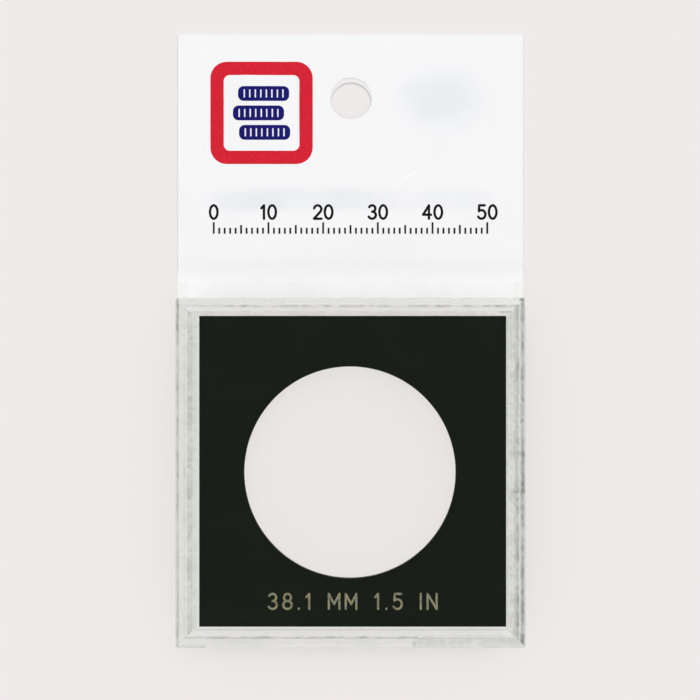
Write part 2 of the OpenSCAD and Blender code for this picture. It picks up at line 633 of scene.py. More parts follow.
@dataclass(frozen=True)
class GoldFoil:
    """Hot-stamped gold foil, thin in places, so that the black shows through."""

    bright: Colour = (0.37, 0.325, 0.185)
    grey: Colour = (0.285, 0.29, 0.215)
    worn: Colour = (0.17, 0.155, 0.095)

    def make(self) -> bpy.types.Material:
        """Builds the material.

        Returns:
            The material.
        """
        shade = Shade("gold_foil")
        thin = shade.noise(1500.0, detail=3.0).fade(0.40, 0.68)
        tarnish = shade.noise(420.0, detail=1.0, turn=1.7).fade(0.40, 0.62)
        stamped = shade.mix(tarnish, self.bright, self.grey)
        return shade.done(shade.surface({
            "Base Color": shade.mix(thin, stamped, self.worn),
            "Metallic": 0.35 * (1.0 - thin),
            "Roughness": 0.42 + 0.2 * thin,
            "Normal": shade.bump(thin, strength=0.3, distance=0.01 * MM),
        }))


@dataclass(frozen=True)
class WhiteFilm:
    """White printed film, slightly see-through, so that the print on the other ply ghosts through it.

    Attributes:
        ghost_x: Middle of the other ply's pictogram, along X.
        ghost_y: The same, along Y.
        ghost_size: Size of its show-through.
        line_y: Middle of the other ply's scale, along Y.
        line_half: Half the length of its show-through.
        crease_y: Where the header folds, along Y.
        white: Colour of the film.
        milky: Colour of its cloudier patches.
        ghost: Colour of the show-through.
        stressed: Colour of the painted highlight along the kink.
        line_thick: Half the height of the scale's show-through.
        line_soft: How softly it fades above and below.
        line_ends: Where it starts to fade and is gone at its two ends, from line_half.
        line_weak: Places along X between which it gets weaker.
        kink_half: Half the width of the painted highlight along the kink.
        kink_soft: How softly that line fades on each side.
        kink_rise: Heights above the crease where it starts and is full.
        kink_end: Places along X where it starts to fade and is gone.
    """

    ghost_x: float
    ghost_y: float
    ghost_size: float
    line_y: float
    line_half: float
    crease_y: float
    white: Colour = (0.876, 0.876, 0.888)
    milky: Colour = (0.856, 0.860, 0.868)
    ghost: Colour = (0.760, 0.776, 0.812)
    # Painted highlight: colour of the pale line along the kink
    stressed: Colour = (0.955, 0.955, 0.96)
    line_thick: float = 0.9 * MM
    line_soft: float = 1.8 * MM
    line_ends: Point = (-4 * MM, 3 * MM)
    line_weak: Point = (-8 * MM, 10 * MM)
    kink_half: float = 0.05 * MM
    kink_soft: float = 0.18 * MM
    kink_rise: Point = (13.2 * MM, 14.4 * MM)
    kink_end: Point = (11.0 * MM, 14.0 * MM)

    def show_through(self, shade: Shade, uneven: Wire) -> Wire:
        """Finds where the other ply's print shows: a round patch, and a line that fades to the right.

        Args:
            shade: The material under construction.
            uneven: A soft pattern that breaks up the patch.

        Returns:
            The share of the print that shows.
        """
        away = shade.distance(self.ghost_x, self.ghost_y, (1.0, 1.35)) * (1.0 / self.ghost_size)
        patch = 1.0 - (away + 0.35 * uneven).fade(0.30, 0.78)
        halo = 1.0 - away.fade(0.32, 0.74)
        line = abs(shade.y - self.line_y).near(self.line_thick, self.line_soft)
        line = line * (1.0 - abs(shade.x).fade(*(self.line_half + end for end in self.line_ends)))
        broken = 0.45 + 0.55 * shade.noise(110.0, detail=1.0, turn=0.3).fade(0.36, 0.62)
        broken = broken * (1.0 - 0.50 * shade.x.fade(*self.line_weak))
        return 0.58 * patch + 0.22 * halo + 0.85 * line * broken

    def kinked(self, shade: Shade, uneven: Wire) -> Wire:
        """Finds the painted highlight along the kink, standing in for the glint that the fold catches.

        Args:
            shade: The material under construction.
            uneven: A soft pattern that breaks up the line.

        Returns:
            The share of the painted highlight's colour.
        """
        off = shade.distance(DENT.x * MM, self.crease_y + DENT.y * MM) - DENT.radius * MM
        low, full = (self.crease_y + rise for rise in self.kink_rise)
        line = abs(off).near(self.kink_half, self.kink_soft) * shade.y.fade(low, full)
        line = line * (1.0 - shade.x.fade(*self.kink_end))
        return 0.65 * line * uneven.fade(0.3, 0.6)

    def make(self, name: str) -> bpy.types.Material:
        """Builds the material.

        Args:
            name: The material's name.

        Returns:
            The material.
        """
        shade = Shade(name)
        cloud = shade.noise(70.0, detail=3.0).fade(0.42, 0.70)
        grain = shade.noise(2600.0, detail=2.0)
        uneven = shade.noise(210.0, detail=1.0, turn=0.8)
        body = shade.mix(0.55 * cloud, self.white, self.milky)
        body = shade.mix(self.show_through(shade, uneven), body, self.ghost)
        # Painted highlight: a pale line along the kink stands in for the glint that the fold catches
        body = shade.mix(self.kinked(shade, uneven), body, self.stressed)
        return shade.done(shade.surface({
            "Base Color": body,
            "Roughness": 0.30 + 0.08 * cloud + 0.06 * grain,
            "IOR": 1.5,
            "Normal": shade.bump(grain, strength=0.15, distance=0.006 * MM),
        }))


@dataclass(frozen=True)
class ClearFilm:
    """Hazy clear film, white at its seal to the plies, clearer along its sides and under the adhesive.

    Attributes:
        half_width: Half the width of the film.
        bonded_y: Where the film goes in behind the case, along Y.
        crease_y: Where the header folds, along Y.
        haze: Colour of the haze.
        milky: Colour of its cloudier patches.
        sealed: Colour of the seal.
        passed: Tint of the light that falls through.
        side_reach: How far in from its sides the film starts to clear, and is clear.
        bond_soft: Distance over which it clears behind the case.
        seal_reach: How far below the crease the seal starts, and is full.
    """

    half_width: float
    bonded_y: float
    crease_y: float
    haze: Colour = (0.975, 0.99, 0.985)
    milky: Colour = (0.94, 0.955, 0.955)
    sealed: Colour = (0.876, 0.876, 0.888)
    passed: Colour = (0.985, 0.99, 0.985)
    side_reach: Point = (2.2 * MM, 1.2 * MM)
    bond_soft: float = 1.0 * MM
    seal_reach: Point = (2.6 * MM, 0.2 * MM)

    def make(self) -> bpy.types.Material:
        """Builds the material.

        Returns:
            The material.
        """
        shade = Shade("clear_film")
        cloud = shade.noise(95.0, detail=2.0, stretch=(1.0, 0.6, 1.0)).fade(0.36, 0.70)
        ripple = shade.noise(420.0, detail=2.0, stretch=(1.0, 0.3, 1.0))
        side = abs(shade.x).fade(*(self.half_width - reach for reach in self.side_reach))
        loose = shade.y.fade(self.bonded_y - self.bond_soft, self.bonded_y)
        cover = (0.49 - 0.05 * cloud - 0.14 * side) * (0.08 + 0.92 * loose)
        seal = shade.y.fade(*(self.crease_y - reach for reach in self.seal_reach))
        body = shade.mix(cloud, self.haze, self.milky)
        film = shade.surface({
            "Base Color": shade.mix(seal, body, self.sealed),
            "Alpha": cover + seal * (1.0 - cover),
            "Roughness": 0.22 + 0.1 * cloud,
            "IOR": 1.49,
            "Normal": shade.bump(ripple, strength=0.15, distance=0.02 * MM),
        })
        return shade.done(shade.passing(film, self.passed))


@dataclass(frozen=True)
class Adhesive:
    """Thin see-through adhesive with a milky, slightly stringy texture."""

    milk: Colour = (0.90, 0.905, 0.89)
    stringy: Colour = (0.82, 0.825, 0.80)
    passed: Colour = (0.99, 0.99, 0.985)

    def make(self) -> bpy.types.Material:
        """Builds the material.

        Returns:
            The material.
        """
        shade = Shade("adhesive")
        strings = shade.noise(420.0, detail=3.0, stretch=(0.4, 1.6, 1.0)).fade(0.40, 0.66)
        layer = shade.surface({
            "Base Color": shade.mix(strings, self.milk, self.stringy),
            "Alpha": 0.03 + 0.04 * strings,
            "Roughness": 0.45 + 0.15 * strings,
            "Normal": shade.bump(strings, strength=0.3, distance=0.02 * MM),
        })
        return shade.done(shade.passing(layer, self.passed))


@dataclass(frozen=True)
class PrintInk:
    """A solid print colour with the fine unevenness of ink on film."""

    ink: Ink

    def make(self) -> bpy.types.Material:
        """Builds the material.

        Returns:
            The material.
        """
        shade = Shade(f"ink_{self.ink.name.lower()}")
        grain = shade.noise(1800.0, detail=3.0)
        thin = tuple(min(1.0, 1.2 * share + 0.004) for share in self.ink.value)
        return shade.done(shade.surface({
            "Base Color": shade.mix(grain.fade(0.45, 0.8), self.ink.value, thin),
            "Specular IOR Level": 0.15,
            "Roughness": 0.34 + 0.12 * grain,
            "Normal": shade.bump(grain, strength=0.15, distance=0.005 * MM),
        }))


@dataclass(frozen=True)
class FloorPaint:
    """Plain pale sweep under the object, which clear parts show at its full brightness.

    Attributes:
        pale: Colour of the paint.
        tooth: How bright the darker spots of the paint's fine random texture are, as a share.
        seen_through: Colour that clear parts show.
        share: How much of that colour they show.
    """

    pale: Colour = (0.825, 0.785, 0.785)
    tooth: float = 0.992
    seen_through: Colour = (0.975, 0.93, 0.925)
    share: float = 0.85

    def make(self) -> bpy.types.Material:
        """Builds the material.

        Returns:
            The material.
        """
        shade = Shade("floor_paint")
        darker_speck = tuple(self.tooth * share for share in self.pale)
        paint = shade.surface({
            "Base Color": shade.mix(shade.noise(1400.0, detail=2.0), self.pale, darker_speck),
            "Roughness": 0.85,
            "Specular IOR Level": 0.0,
        })
        path = shade.node("ShaderNodeLightPath")
        through = self.share * Wire(shade, path.outputs["Is Transmission Ray"])
        shown = {"Color": (*self.seen_through, 1.0), "Strength": 1.0}
        glow = shade.wire("ShaderNodeEmission", None, shown)
        return shade.done(shade.wire("ShaderNodeMixShader", None, {0: through, 1: paint, 2: glow}))


def new_piece(name: str, mesh: bpy.types.Mesh, material: bpy.types.Material) -> bpy.types.Object:
    """Puts a mesh into the scene as one piece.

    Args:
        name: The piece's name.
        mesh: Its mesh, already in place.
        material: The one finish that it takes.

    Returns:
        The new object.
    """
    mesh.materials.clear()
    mesh.materials.append(material)
    piece = bpy.data.objects.new(name, mesh)
    bpy.context.collection.objects.link(piece)
    return piece


def settled(piece: bpy.types.Object) -> bpy.types.Object:
    """Turns a piece and its modifiers into a plain mesh.

    Args:
        piece: The object, whose modifiers are used up.

    Returns:
        The same object.
    """
    graph = bpy.context.evaluated_depsgraph_get()
    mesh = bpy.data.meshes.new_from_object(piece.evaluated_get(graph), depsgraph=graph)
    mesh.name = piece.name
    piece.modifiers.clear()
    piece.data = mesh
    return piece


def softened(
    node: bpy.types.Object, name: str, width: float, seat: float, material: bpy.types.Material
) -> bpy.types.Object:
    """Copies a CAD node with its sharp edges broken, as a mould leaves them.

    Args:
        node: The CAD node.
        name: The new piece's name.
        width: Width of the broken edges.
        seat: Air left under its lowest face, so that no two clear faces lie in one plane.
        material: The piece's finish.

    Returns:
        The new piece.
    """
    mesh = node.data.copy()
    work = bmesh.new()
    work.from_mesh(mesh)
    bmesh.ops.remove_doubles(work, verts=work.verts, dist=SAME_SPOT)
    bmesh.ops.dissolve_limit(work, angle_limit=FLAT_TURN, verts=work.verts, edges=work.edges)
    lowest = min(vertex.co.z for vertex in work.verts)
    for vertex in work.verts:
        if vertex.co.z < lowest + SAME_SPOT:
            vertex.co.z += seat
    work.to_mesh(mesh)
    work.free()
    piece = new_piece(name, mesh, material)
    bevel = piece.modifiers.new("broken_edges", "BEVEL")
    bevel.width = width
    bevel.segments = 2
    bevel.limit_method = "ANGLE"
    bevel.angle_limit = SHARP_TURN
    bevel.use_clamp_overlap = True
    settled(piece)
    piece.data.shade_smooth()
    weights = piece.modifiers.new("flat_faces", "WEIGHTED_NORMAL")
    weights.mode = "FACE_AREA"
    weights.weight = 100
    return settled(piece)


def smooth(share: float) -> float:
    """Returns a smooth step from 0 to 1, as the share goes from 0 to 1."""
    held = min(1.0, max(0.0, share))
    return held * held * (3.0 - 2.0 * held)


@dataclass
class FilmRelief:
    """The gentle puckers of the header's film as it lies.

    Attributes:
        low_y: The crease, along Y.
        high_y: The header's top edge, along Y.
        half: Half the header's width.
        lift: How high the film lies over the floor.
        swell: Height of the waves.
        ridge: Height of the kinks.
        ease_low: Distance over which the puckers die down towards the crease.
        ease_side: The same, towards the other three edges.
    """

    low_y: float
    high_y: float
    half: float
    lift: float = 0.02 * MM
    swell: float = 0.10 * MM
    ridge: float = 0.09 * MM
    ease_low: float = 8 * MM
    ease_side: float = 6 * MM

    def height(self, x: float, y: float) -> float:
        """Finds how high the film's lower face lies over the floor.

        Args:
            x: The place, along X.
            y: The place, along Y.

        Returns:
            The height in metres.
        """
        ease = smooth(min(
            (y - self.low_y) / self.ease_low,
            (self.high_y - y) / self.ease_side,
            (self.half - abs(x)) / self.ease_side,
        ))
        rest = self.lift if y > self.low_y + self.ease_low else self.lift * ease
        u, v = x / MM, (y - self.low_y) / MM
        kinks = sum(kink.height(u, v) for kink in (DENT, NICK))
        return rest + ease * (self.swell * self.wave(u, v) + self.ridge * kinks)

    @staticmethod
    def wave(u: float, v: float) -> float:
        """Adds up three long waves that cross each other.

        Args:
            u: The place along X, from the middle of the crease line, in millimetres.
            v: The same, along Y.

        Returns:
            The height, as a share of the swell.
        """
        total = 0.5 + 0.5 * math.sin(0.21 * u + 0.9 + 0.5 * math.sin(0.16 * v))
        total += 0.5 + 0.5 * math.sin(0.31 * v - 0.13 * u + 0.4)
        total += 0.35 * (0.5 + 0.5 * math.sin(0.43 * u + 0.27 * v))
        return total


def walled(work: bmesh.types.BMesh, over: Sequence[Any], under: Sequence[Any], name: str) -> bpy.types.Mesh:
    """Closes a thin sheet round its open edges.

    Args:
        work: The two faces of the sheet.
        over: Vertices of the upper face.
        under: Vertices of the lower face, in the same order.
        name: The mesh's name.

    Returns:
        The closed mesh, with its faces outwards.
    """
    places = {vertex: k for k, vertex in enumerate(over)}
    for edge in [e for e in work.edges if len(e.link_faces) == 1 and e.verts[0] in places]:
        a, b = (places[vertex] for vertex in edge.verts)
        work.faces.new((over[a], over[b], under[b], under[a]))
    bmesh.ops.delete(work, geom=[v for v in work.verts if not v.link_faces], context="VERTS")
    bmesh.ops.recalc_face_normals(work, faces=work.faces)
    mesh = bpy.data.meshes.new(name)
    work.to_mesh(mesh)
    work.free()
    mesh.shade_smooth()
    mesh.set_sharp_from_angle(angle=FILM_TURN)
    return mesh


def slab(
    name: str,
    spots: Sequence[Vector],
    edges: Sequence[tuple[int, int]],
    kept: Callable[[Vector], bool],
    heights: Callable[[float, float], Point],
) -> bpy.types.Mesh:
    """Builds a closed thin sheet over points on a plane.

    Args:
        name: The mesh's name.
        spots: The points, seen along Z.
        edges: Pairs of points that the sheet's triangles have an edge between.
        kept: Tells from the middle of a triangle whether the sheet has it.
        heights: Heights of the lower and the upper face at a place.

    Returns:
        The mesh, with its faces outwards.
    """
    points, _, faces, *_ = geometry.delaunay_2d_cdt(spots, edges, [], 0, NO_LENGTH)
    work = bmesh.new()
    under = [work.verts.new((p.x, p.y, heights(p.x, p.y)[0])) for p in points]
    over = [work.verts.new((p.x, p.y, heights(p.x, p.y)[1])) for p in points]
    for face in faces:
        middle = sum((points[k] for k in face), Vector((0.0, 0.0))) / len(face)
        if kept(middle):
            work.faces.new([over[k] for k in face])
            work.faces.new([under[k] for k in reversed(face)])
    return walled(work, over, under, name)


def film_mesh(
    name: str,
    low: Point,
    high: Point,
    holes: Sequence[Hole],
    spacing: float,
    heights: Callable[[float, float], Point],
) -> bpy.types.Mesh:
    """Builds a closed sheet of film over a rectangle, with round holes.

    Args:
        name: The mesh's name.
        low: Lowest x and y.
        high: Highest x and y.
        holes: Centre and radius of each hole.
        spacing: Distance between the mesh's points.
        heights: Heights of the lower and the upper face at a place.

    Returns:
        The mesh, with its faces outwards.
    """
    counts = [max(2, round((b - a) / spacing)) for a, b in zip(low, high)]
    clear = HOLE_CLEAR * spacing
    spots = []
    for i in range(counts[0] + 1):
        for j in range(counts[1] + 1):
            x = low[0] + (high[0] - low[0]) * i / counts[0]
            y = low[1] + (high[1] - low[1]) * j / counts[1]
            if all(math.hypot(x - c[0], y - c[1]) > r + clear for c, r in holes):
                spots.append(Vector((x, y)))
    rings = []
    for centre, radius in holes:
        first = len(spots)
        for k in range(HOLE_STEPS):
            turn = 2.0 * math.pi * k / HOLE_STEPS
            spots.append(Vector((centre[0] + radius * math.cos(turn), centre[1] + radius * math.sin(turn))))
            rings.append((first + k, first + (k + 1) % HOLE_STEPS))

    def kept(middle: Vector) -> bool:
        """Returns True outside every hole."""
        return all((middle - Vector(c)).length >= r * HOLE_OPEN for c, r in holes)

    return slab(name, spots, rings, kept, heights)


def arc(cx: float, cy: float, rx: float, ry: float, start: float, end: float, steps: int = 14) -> Stroke:
    """Returns points along part of an ellipse, between two angles in degrees."""
    turns = [math.radians(start + (end - start) * k / steps) for k in range(steps + 1)]
    return [(cx + rx * math.cos(t), cy + ry * math.sin(t)) for t in turns]


# The width and the strokes of each character, as shares of its height
GLYPHS: dict[str, tuple[float, list[Stroke]]] = {
    "0": (0.56, [arc(0.28, 0.5, 0.28, 0.5, 90, 450, 28)]),
    "1": (0.30, [[(0.02, 0.78), (0.22, 1.0), (0.22, 0.0)]]),
    "2": (0.56, [arc(0.28, 0.72, 0.27, 0.28, 170, -38) + [(0.0, 0.0), (0.56, 0.0)]]),
    "3": (0.54, [arc(0.25, 0.76, 0.24, 0.24, 155, -90) + arc(0.25, 0.27, 0.28, 0.27, 84, -155)]),
    "4": (0.60, [[(0.44, 0.0), (0.44, 1.0), (0.0, 0.30), (0.60, 0.30)]]),
    "5": (0.56, [[(0.50, 1.0), (0.09, 1.0), (0.06, 0.56)] + arc(0.26, 0.32, 0.29, 0.32, 132, -150)]),
    "8": (0.56, [arc(0.28, 0.76, 0.23, 0.24, -90, 270, 24), arc(0.28, 0.265, 0.28, 0.265, 90, 450, 24)]),
    ".": (0.10, [[(0.05, 0.0), (0.05, 0.03)]]),
    "M": (0.70, [[(0.0, 0.0), (0.0, 1.0), (0.35, 0.32), (0.70, 1.0), (0.70, 0.0)]]),
    "I": (0.06, [[(0.03, 0.0), (0.03, 1.0)]]),
    "N": (0.60, [[(0.0, 0.0), (0.0, 1.0), (0.60, 0.0), (0.60, 1.0)]]),
    " ": (0.38, []),
}


def parted(stroke: Stroke, limit: float = 50.0) -> list[Stroke]:
    """Splits a stroke at its sharp corners, so that each part gets round ends.

    Args:
        stroke: A line of points.
        limit: Turn that counts as sharp, in degrees.

    Returns:
        The parts, in order.
    """
    parts, start = [], 0
    for k in range(1, len(stroke) - 1):
        before = Vector(stroke[k]) - Vector(stroke[k - 1])
        after = Vector(stroke[k + 1]) - Vector(stroke[k])
        if min(before.length, after.length) > NO_LENGTH and math.degrees(before.angle(after)) > limit:
            parts.append(stroke[start:k + 1])
            start = k
    return parts + [stroke[start:]]


class ShapeTree(Tree):
    """A Geometry Nodes tree under construction, which takes its sizes and its finish as inputs."""

    def __init__(self, name: str, inputs: Mapping[str, str]) -> None:
        """Starts the tree and its inputs.

        Args:
            name: The tree's name.
            inputs: The kind of each input, by the input's name.
        """
        group = bpy.data.node_groups.new(name, "GeometryNodeTree")
        super().__init__(group)
        self.keys: dict[str, str] = {}
        for title, kind in inputs.items():
            made = group.interface.new_socket(title, in_out="INPUT", socket_type=f"NodeSocket{kind}")
            self.keys[title] = made.identifier
        group.interface.new_socket("Geometry", in_out="OUTPUT", socket_type="NodeSocketGeometry")
        entry = self.node("NodeGroupInput")
        self.given = {title: Wire(self, entry.outputs[title]) for title in inputs}

    def dressed(self, shape: Wire) -> None:
        """Gives the shape its finish and makes it the tree's result."""
        inputs = {"Geometry": shape, "Material": self.given["Finish"]}
        self.node("NodeGroupOutput", None, {0: self.wire("GeometryNodeSetMaterial", None, inputs)})

    def grow(self, piece: bpy.types.Object, sizes: Mapping[str, Any]) -> bpy.types.Object:
        """Runs the tree on a piece.

        Args:
            piece: The object that the tree starts from.
            sizes: A value for each input of the tree, apart from the geometry.

        Returns:
            The same object, as a plain mesh.
        """
        modifier = piece.modifiers.new(self.tree.name, "NODES")
        modifier.node_group = self.tree
        for title, value in sizes.items():
            modifier[self.keys[title]] = value
        return settled(piece)


class StrokeTree(ShapeTree):
    """Draws flat strokes with round ends along the edges of a mesh."""

    def __init__(self) -> None:
        """Builds the tree once, for every line of lettering."""
        super().__init__("flat_strokes", {
            "Geometry": "Geometry",
            "Half Width": "Float",
            "Flatness": "Float",
            "Finish": "Material",
        })
        path, half = self.given["Geometry"], self.given["Half Width"]
        curve = self.wire("GeometryNodeMeshToCurve", None, {"Mesh": path})
        ring = self.wire("GeometryNodeCurvePrimitiveCircle", None, {"Resolution": 10, "Radius": half})
        sweep = {"Curve": curve, "Profile Curve": ring, "Fill Caps": True}
        tube = self.wire("GeometryNodeCurveToMesh", None, sweep)
        marked = {"data_type": "BOOLEAN"}
        ends = self.wire("GeometryNodeInputNamedAttribute", marked, {"Name": ROUND_END}, "Attribute")
        ball = self.wire("GeometryNodeMeshUVSphere", None, {"Segments": 12, "Rings": 7, "Radius": half})
        placed = {"Points": path, "Selection": ends, "Instance": ball}
        caps = self.wire("GeometryNodeInstanceOnPoints", None, placed)
        both = self.node("GeometryNodeJoinGeometry")
        for part in (caps, tube):
            self.tree.links.new(part.socket, both.inputs[0])
        real = self.wire("GeometryNodeRealizeInstances", None, {"Geometry": Wire(self, both.outputs[0])})
        scale = self.wire("ShaderNodeCombineXYZ", None, {"X": 1.0, "Y": 1.0, "Z": self.given["Flatness"]})
        self.dressed(self.wire("GeometryNodeTransform", None, {"Geometry": real, "Scale": scale}))

    @staticmethod
    def paths(name: str, strokes: Sequence[Stroke]) -> bpy.types.Mesh:
        """Turns strokes into a mesh of edges, with the ends that take a round cap marked.

        Args:
            name: The mesh's name.
            strokes: Lines of points.

        Returns:
            The mesh.
        """
        points: list[Triple] = []
        edges: list[tuple[int, int]] = []
        ends: dict[Point, int] = {}
        for stroke in [part for whole in strokes for part in parted(whole)]:
            closed = math.dist(stroke[0], stroke[-1]) < NO_LENGTH
            body = stroke[:-1] if closed else stroke
            first, count = len(points), len(body)
            points += [(x, y, 0.0) for x, y in body]
            edges += [(first + k, first + (k + 1) % count) for k in range(count if closed else count - 1)]
            if not closed:
                ends.setdefault(body[0], first)
                ends.setdefault(body[-1], first + count - 1)
        mesh = bpy.data.meshes.new(name)
        mesh.from_pydata(points, edges, [])
        marks = mesh.attributes.new(ROUND_END, "BOOLEAN", "POINT")
        for place in ends.values():
            marks.data[place].value = True
        return mesh

    def draw(
        self,
        name: str,
        strokes: Sequence[Stroke],
        half: float,
        rise: float,
        finish: bpy.types.Material,
    ) -> bpy.types.Object:
        """Draws strokes on z = 0.

        Args:
            name: The piece's name.
            strokes: Lines of points.
            half: Half the width of a stroke.
            rise: Half its thickness.
            finish: The material.

        Returns:
            The piece, as a plain mesh.
        """
        piece = new_piece(name, self.paths(name, strokes), finish)
        self.grow(piece, {"Half Width": half, "Flatness": rise / half, "Finish": finish})
        piece.data.shade_smooth()
        return piece


class TickTree(ShapeTree):
    """Lays the ticks of a scale in a row, with each fifth one longer and each tenth one the longest."""

    def __init__(self) -> None:
        """Builds the tree once, for both sides of the header."""
        super().__init__("scale_ticks", {
            "Count": "Int",
            "Pitch": "Float",
            "Line": "Float",
            "Short": "Float",
            "Middle": "Float",
            "Long": "Float",
            "Thickness": "Float",
            "Finish": "Material",
        })
        given = self.given
        step = self.wire("ShaderNodeCombineXYZ", None, {"X": given["Pitch"]})
        laid = {"Count": given["Count"], "Offset": step}
        row = self.wire("GeometryNodeMeshLine", {"mode": "OFFSET"}, laid)
        index = self.wire("GeometryNodeInputIndex")
        fifth, tenth = (index % 5.0) < 0.5, (index % 10.0) < 0.5
        reach = given["Short"] + fifth * (given["Middle"] - given["Short"])
        reach = reach + tenth * (given["Long"] - given["Middle"])
        centre = self.wire("ShaderNodeCombineXYZ", None, {"Y": 0.5 * reach})
        spots = self.wire("GeometryNodeSetPosition", None, {"Geometry": row, "Offset": centre})
        block = self.wire("GeometryNodeMeshCube", None, {"Size": (1.0, 1.0, 1.0), "Vertices Y": 5})
        across = {"X": given["Line"], "Y": reach, "Z": given["Thickness"]}
        size = self.wire("ShaderNodeCombineXYZ", None, across)
        placed = {"Points": spots, "Instance": block, "Scale": size}
        ticks = self.wire("GeometryNodeInstanceOnPoints", None, placed)
        self.dressed(self.wire("GeometryNodeRealizeInstances", None, {"Geometry": ticks}))

    def draw(self, name: str, sizes: Mapping[str, Any]) -> bpy.types.Object:
        """Lays one row of ticks from the origin along +X, with a value for each of the tree's inputs."""
        return self.grow(new_piece(name, bpy.data.meshes.new(name), sizes["Finish"]), sizes)


def lettered(text: str, height: float, gap: float) -> tuple[list[Stroke], float]:
    """Sets a line of stroke lettering from the origin.

    Args:
        text: Characters that GLYPHS holds.
        height: Height of the characters.
        gap: Room between characters.

    Returns:
        The strokes, and the width of the line.
    """
    strokes, at = [], 0.0
    for sign in text:
        width, lines = GLYPHS[sign]
        strokes += [[(at + x * height, y * height) for x, y in line] for line in lines]
        at += width * height + gap
    return strokes, at - gap


def shifted(strokes: Sequence[Stroke], dx: float, dy: float) -> list[Stroke]:
    """Returns the strokes moved by dx and dy."""
    return [[(x + dx, y + dy) for x, y in stroke] for stroke in strokes]


def soft_rectangle(width: float, height: float, radius: float, steps: int = 8) -> Stroke:
    """Outlines a rectangle with round corners about the origin.

    Args:
        width: Its width.
        height: Its height.
        radius: Radius of its corners.
        steps: Straight steps round each corner.

    Returns:
        The outline's points.
    """
    x, y = width / 2 - radius, height / 2 - radius
    outline: Stroke = []
    for sx, sy, turn in ((1, 1, 0), (-1, 1, 90), (-1, -1, 180), (1, -1, 270)):
        outline += arc(sx * x, sy * y, radius, radius, turn, turn + 90, steps)
    return outline


def inside(spot: Vector, outline: Stroke) -> bool:
    """Tells whether a spot lies inside a closed outline.

    Args:
        spot: The spot.
        outline: The outline's points.

    Returns:
        True where it does.
    """
    within = False
    for (x1, y1), (x2, y2) in zip(outline, outline[1:] + outline[:1]):
        crossed = (y1 > spot.y) != (y2 > spot.y)
        if crossed and spot.x < x1 + (spot.y - y1) / (y2 - y1) * (x2 - x1):
            within = not within
    return within


def inked(
    name: str,
    outline: Stroke,
    hole: Stroke | None,
    thickness: float,
    grid: float,
    finish: bpy.types.Material,
) -> bpy.types.Object:
    """Builds a flat patch of ink about z = 0.

    Args:
        name: The piece's name.
        outline: Its outer edge.
        hole: An inner edge, or None for a full patch.
        thickness: Thickness of the ink.
        grid: Distance between points, close enough to follow the film.
        finish: The ink.

    Returns:
        The piece.
    """
    borders = [outline, hole] if hole else [outline]
    spots = [Vector(spot) for border in borders for spot in border]
    edges, first = [], 0
    for border in borders:
        edges += [(first + k, first + (k + 1) % len(border)) for k in range(len(border))]
        first += len(border)
    reach = max(abs(place) for spot in outline for place in spot)
    steps = math.ceil(2 * reach / grid)
    places = [-reach + 2 * reach * k / steps for k in range(steps + 1)]
    spots += [Vector((x, y)) for x in places for y in places]

    def kept(middle: Vector) -> bool:
        """Returns True inside the outline and outside the hole."""
        return inside(middle, outline) and not (hole and inside(middle, hole))

    mesh = slab(name, spots, edges, kept, lambda x, y: (-thickness / 2, thickness / 2))
    return new_piece(name, mesh, finish)


@dataclass
class Case:
    """The two clear halves, taken from the CAD nodes with their edges broken.

    Attributes:
        edge: Width of the broken edges.
        parting: Air between the two halves, so that no two clear faces lie in one plane.
        joint_in: From the middle of the case to the inner edge of the joint.
        joint_out: The same, to the joint's outer edge.
        pieces: The pieces built.
    """

    edge: float = 0.07 * MM
    parting: float = 0.06 * MM
    joint_in: float = 28.2 * MM
    joint_out: float = 30.3 * MM
    pieces: list[bpy.types.Object] = field(default_factory=list)

    def build(self, nodes: Mapping[str, bpy.types.Object]) -> None:
        """Builds and dresses both halves.

        Args:
            nodes: The CAD nodes, by name.
        """
        low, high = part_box("cover")
        middle, half = (low[1] + high[1]) / 2, (high[0] - low[0]) / 2
        finish = ClearPlastic(middle, half, self.joint_in, self.joint_out).make()
        for node, name, seat in (("base", "base_half", 0.0), ("cover", "cover_half", self.parting)):
            piece = softened(nodes[node], name, self.edge, seat, finish)
            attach(piece, node)
            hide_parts(node)
            self.pieces.append(piece)


@dataclass
class Insert:
    """The black insert and the size that is stamped on it.

    Attributes:
        edge: Width of its broken edges.
        seat: Air under it, so that it doesn't lie in one plane with the clear window.
        text: The size mark.
        text_height: Height of the lettering.
        text_gap: Room between two characters.
        text_low: Middle of the lettering, above the insert's lower edge.
        stroke: Half the width of a stroke.
        foil: Half the thickness of the foil.
        pieces: The pieces built.
    """

    edge: float = 0.06 * MM
    seat: float = 0.03 * MM
    text: str = "38.1 MM 1.5 IN"
    text_height: float = 2.75 * MM
    text_gap: float = 1.15 * MM
    text_low: float = 4.60 * MM
    stroke: float = 0.20 * MM
    foil: float = 0.012 * MM
    pieces: list[bpy.types.Object] = field(default_factory=list)

    def build(self, nodes: Mapping[str, bpy.types.Object], strokes: StrokeTree) -> None:
        """Builds and dresses the insert and its size mark.

        Args:
            nodes: The CAD nodes, by name.
            strokes: Draws the lettering.
        """
        plate = softened(nodes["insert"], "insert_plate", self.edge, self.seat, BlackInsert().make())
        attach(plate, "insert")
        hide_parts("insert")
        low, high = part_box("insert")
        lines, width = lettered(self.text, self.text_height, self.text_gap)
        middle = (low[0] + high[0]) / 2
        lines = shifted(lines, middle - width / 2, low[1] + self.text_low - self.text_height / 2)
        mark = strokes.draw("insert_size_mark", lines, self.stroke, self.foil, GoldFoil().make())
        mark.data.transform(Matrix.Translation((0.0, 0.0, high[2])))
        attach(mark, "insert")
        self.pieces += [plate, mark]


